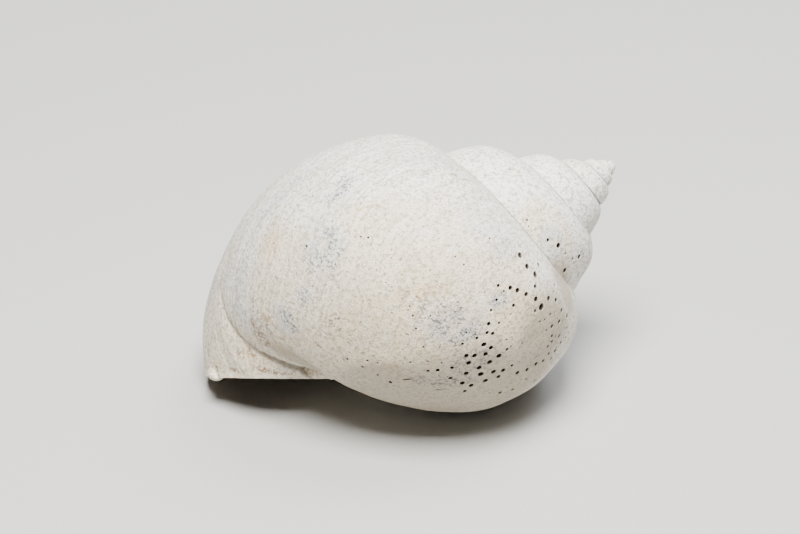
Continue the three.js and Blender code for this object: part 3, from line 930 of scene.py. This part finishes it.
def chalkMaterial(tree3d):
    material = bpy.data.materials.new("chalky_fossil_aragonite")
    material.use_nodes = True
    tree = material.node_tree
    shader = tree.nodes["Principled BSDF"]
    ease = {"interpolation_type": "SMOOTHSTEP"}
    multiply = {"operation": "MULTIPLY"}
    objectPlace = addNode(tree, "ShaderNodeTexCoord").outputs["Object"]
    inMm = addNode(tree, "ShaderNodeVectorMath", {"operation": "SCALE"}, {
        0: objectPlace, "Scale": 1 / mm}).outputs[0]
    # what the layers of colour are limited by, each from 0 to 1, but the height in mm
    fields = {"height": addNode(tree, "ShaderNodeSeparateXYZ", None, {0: inMm}).outputs[2]}
    for name in ("inside", "suture", "seam", "crease", "pause", "lines", "lip", "pit"):
        fields[name] = addNode(tree, "ShaderNodeAttribute", {"attribute_name": name}).outputs["Fac"]
    for name, (size, detail) in chalk["noises"].items():
        fields[name] = addNode(tree, "ShaderNodeTexNoise", None, {
            "Vector": inMm, "Scale": 1 / size, "Detail": detail,
            "Roughness": chalk["fineness"]}).outputs["Fac"]

    # The soft round patches of each kind, where the strongest one counts
    for kind, spots in marks.items():
        fields[kind] = 0.0
        for across, above, length, width, spin in spots:
            middle, normal = onShell(tree3d, across, above)
            a = math.radians(spin)
            axes = toolAxes(normal, sight["right"] * math.cos(a) + sight["up"] * math.sin(a))
            own = addNode(tree, "ShaderNodeMapping", {"vector_type": "TEXTURE"}, {
                "Vector": inMm, "Location": middle, "Rotation": axes.to_euler(),
                "Scale": (length, width, max(width, 1.0))}).outputs[0]
            soft = addNode(tree, "ShaderNodeTexGradient", {"gradient_type": "SPHERICAL"}, {
                "Vector": own}).outputs["Fac"]
            fields[kind] = addNode(tree, "ShaderNodeMath", {"operation": "MAXIMUM"}, {
                0: fields[kind], 1: soft}).outputs[0]

    # Growth lines: noise around the axis of the coil, stretched down the whorls and leaning back
    coil = addNode(tree, "ShaderNodeMapping", {"vector_type": "TEXTURE"}, {
        "Vector": inMm, "Location": growth["apex"], "Rotation": turnEuler}).outputs[0]
    parts = addNode(tree, "ShaderNodeSeparateXYZ", None, {0: coil})
    flat = addNode(tree, "ShaderNodeCombineXYZ", None, {0: parts.outputs[0], 1: parts.outputs[1]}).outputs[0]
    radius = addNode(tree, "ShaderNodeVectorMath", {"operation": "LENGTH"}, {0: flat}).outputs["Value"]
    depth = addNode(tree, "ShaderNodeMath", {"operation": "ABSOLUTE"}, {0: parts.outputs[2]}).outputs[0]
    steepness = addNode(tree, "ShaderNodeMath", {"operation": "DIVIDE"}, {0: radius, 1: depth}).outputs[0]
    steepest, flattest = chalk["lean"]["steepness"]
    lean = addNode(tree, "ShaderNodeMapRange", ease, {
        "Value": steepness, "From Min": steepest, "From Max": flattest,
        "To Max": math.radians(chalk["lean"]["degrees"])}).outputs["Result"]
    outward = addNode(tree, "ShaderNodeVectorMath", {"operation": "NORMALIZE"}, {0: flat}).outputs[0]
    leaned = addNode(tree, "ShaderNodeVectorRotate", {"rotation_type": "Z_AXIS"}, {
        "Vector": outward, "Angle": lean}).outputs[0]
    downward = addNode(tree, "ShaderNodeVectorMath", multiply, {
        0: coil, 1: (0, 0, 1 / chalk["lineLength"])}).outputs[0]
    for name, gap in chalk["lines"].items():
        perLine = chalk["meanRadius"] / gap
        spread = addNode(tree, "ShaderNodeVectorMath", multiply, {
            0: leaned, 1: (perLine, perLine, 0)}).outputs[0]
        both = addNode(tree, "ShaderNodeVectorMath", {"operation": "ADD"}, {
            0: spread, 1: downward}).outputs[0]
        fields[name] = addNode(tree, "ShaderNodeTexNoise", None, {
            "Vector": both, "Scale": 1.0, "Detail": chalk["lineDetail"],
            "Roughness": chalk["fineness"]}).outputs["Fac"]

    # Pinholes: the middles of some cells, darkened as the painted shade of tiny holes
    cells = addNode(tree, "ShaderNodeTexVoronoi", None, {
        "Vector": inMm, "Scale": 1 / chalk["pinholes"]["apart"]})
    cellDraw = addNode(tree, "ShaderNodeSeparateColor", None, {0: cells.outputs["Color"]}).outputs[0]
    fields["pinholes"] = 1.0
    for value, (low, high) in ((cells.outputs["Distance"], chalk["pinholes"]["edge"]),
                               (cellDraw, chalk["pinholes"]["kept"])):
        eased = addNode(tree, "ShaderNodeMapRange", ease, {"Value": value, "From Min": low, "From Max": high})
        fields["pinholes"] = addNode(tree, "ShaderNodeMath", multiply, {
            0: fields["pinholes"], 1: eased.outputs["Result"]}).outputs[0]

    tint = colour(chalk["pale"])
    shares = {}
    for name, strength, limits in chalk["layers"]:
        share = strength
        for field, low, high in limits:
            eased = addNode(tree, "ShaderNodeMapRange", ease, {
                "Value": fields[field], "From Min": low, "From Max": high}).outputs["Result"]
            share = addNode(tree, "ShaderNodeMath", multiply, {0: share, 1: eased}).outputs[0]
        shares[name] = share
        tint = addNode(tree, "ShaderNodeMix", {"data_type": "RGBA"}, {
            0: share, 6: tint, 7: colour(chalk[name])}).outputs[2]
    tree.links.new(tint, shader.inputs["Base Color"])
    low, high = chalk["roughness"]["from"]
    smoothest, roughest = chalk["roughness"]["to"]
    roughness = addNode(tree, "ShaderNodeMapRange", ease, {
        "Value": fields["mottle"], "From Min": low, "From Max": high,
        "To Min": smoothest, "To Max": roughest})
    tree.links.new(roughness.outputs["Result"], shader.inputs["Roughness"])
    shader.inputs["IOR"].default_value = chalk["ior"]

    height = 0.0
    for name, size, limit in chalk["heights"]:
        source = shares.get(name, fields.get(name))
        rise = addNode(tree, "ShaderNodeMath", multiply, {0: source, 1: size}).outputs[0]
        if limit:
            rise = addNode(tree, "ShaderNodeMath", multiply, {0: rise, 1: fields[limit]}).outputs[0]
        height = addNode(tree, "ShaderNodeMath", {"operation": "ADD"}, {0: height, 1: rise}).outputs[0]
    bump = addNode(tree, "ShaderNodeBump", None, {"Height": height, "Distance": mm, "Strength": 1.0})
    tree.links.new(bump.outputs[0], shader.inputs["Normal"])
    return material


shell.data.materials.clear()
shell.data.materials.append(chalkMaterial(BVHTree.FromObject(shell, bpy.context.evaluated_depsgraph_get())))
print("shell finished")
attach(shell, "root")
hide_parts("shell")

# Studio
studio = {
    "floorSize": 3,
    "floor": "#acacab",  # smooth paper
    "floorRoughness": 0.9,
    "room": "#e8ebf0",
    "roomLight": 0.05,
    "lamps": [
        # name, place in mm, size in mm, watts, colour
        ("key", (-15, -130, 440), 220, 8.8, "#fffcf6"),
        ("top", (160, 150, 400), 260, 2.6, "#f6f9ff"),
    ],
    "aim": (0, 0, 15),
}
reach = studio["floorSize"]
floor = meshPiece("floor", [(-reach, -reach, 0), (reach, -reach, 0), (reach, reach, 0), (-reach, reach, 0)],
                  [(0, 1, 2, 3)])
paper = bpy.data.materials.new("pale_paper")
paper.use_nodes = True
paperShader = paper.node_tree.nodes["Principled BSDF"]
paperShader.inputs["Base Color"].default_value = colour(studio["floor"])
paperShader.inputs["Roughness"].default_value = studio["floorRoughness"]
floor.data.materials.append(paper)

for name, spot, size, power, tint in studio["lamps"]:
    data = bpy.data.lights.new(name, "AREA")
    data.shape = "SQUARE"
    data.size = size * mm
    data.energy = power
    data.color = colour(tint)[:3]
    lamp = bpy.data.objects.new(name, data)
    lamp.location = Vector(spot) * mm
    aim = Vector(studio["aim"]) * mm - lamp.location
    lamp.rotation_euler = aim.to_track_quat("-Z", "Y").to_euler()
    bpy.context.scene.collection.objects.link(lamp)
world = bpy.data.worlds.new("room")
world.use_nodes = True
world.node_tree.nodes["Background"].inputs["Color"].default_value = colour(studio["room"])
world.node_tree.nodes["Background"].inputs["Strength"].default_value = studio["roomLight"]
bpy.context.scene.world = world

print("studio set")
